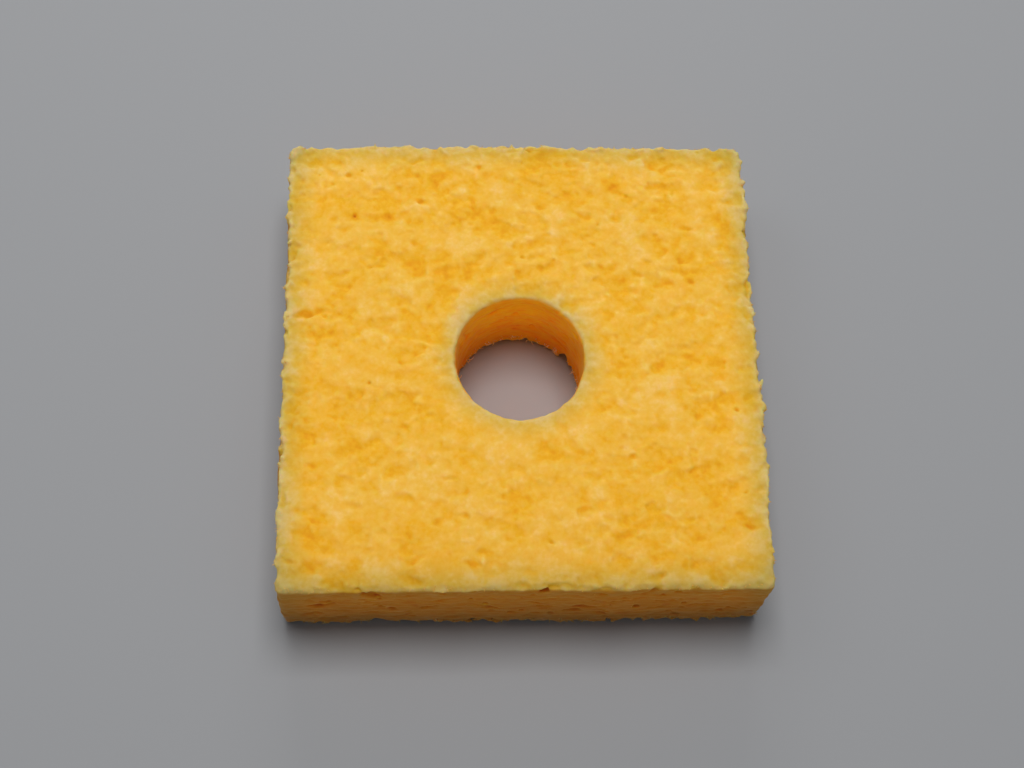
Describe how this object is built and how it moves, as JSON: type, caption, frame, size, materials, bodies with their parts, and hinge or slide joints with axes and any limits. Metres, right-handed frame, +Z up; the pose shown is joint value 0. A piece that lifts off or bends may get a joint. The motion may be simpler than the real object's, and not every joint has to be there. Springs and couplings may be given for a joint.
{
  "type": "soldering tip cleaning sponge",
  "caption": "Square block of expanded cellulose sponge with a round hole through its middle, for wiping a hot soldering tip.",
  "frame": {"origin": "middle of the underside, on the hole's axis", "axes": "+Z up along the hole, from the underside to the top face; +X across the front, +Y to the back. The block is nearly square, so the two lie along its 69 mm and 70 mm sides"},
  "size_m": [0.069, 0.07, 0.016],
  "materials": {
    "cellulose": "matt open-cell cellulose sponge, yellow skin with deeper orange pores"
  },
  "bodies": {
    "root": {"sponge": "cellulose"}
  },
  "joints": []
}
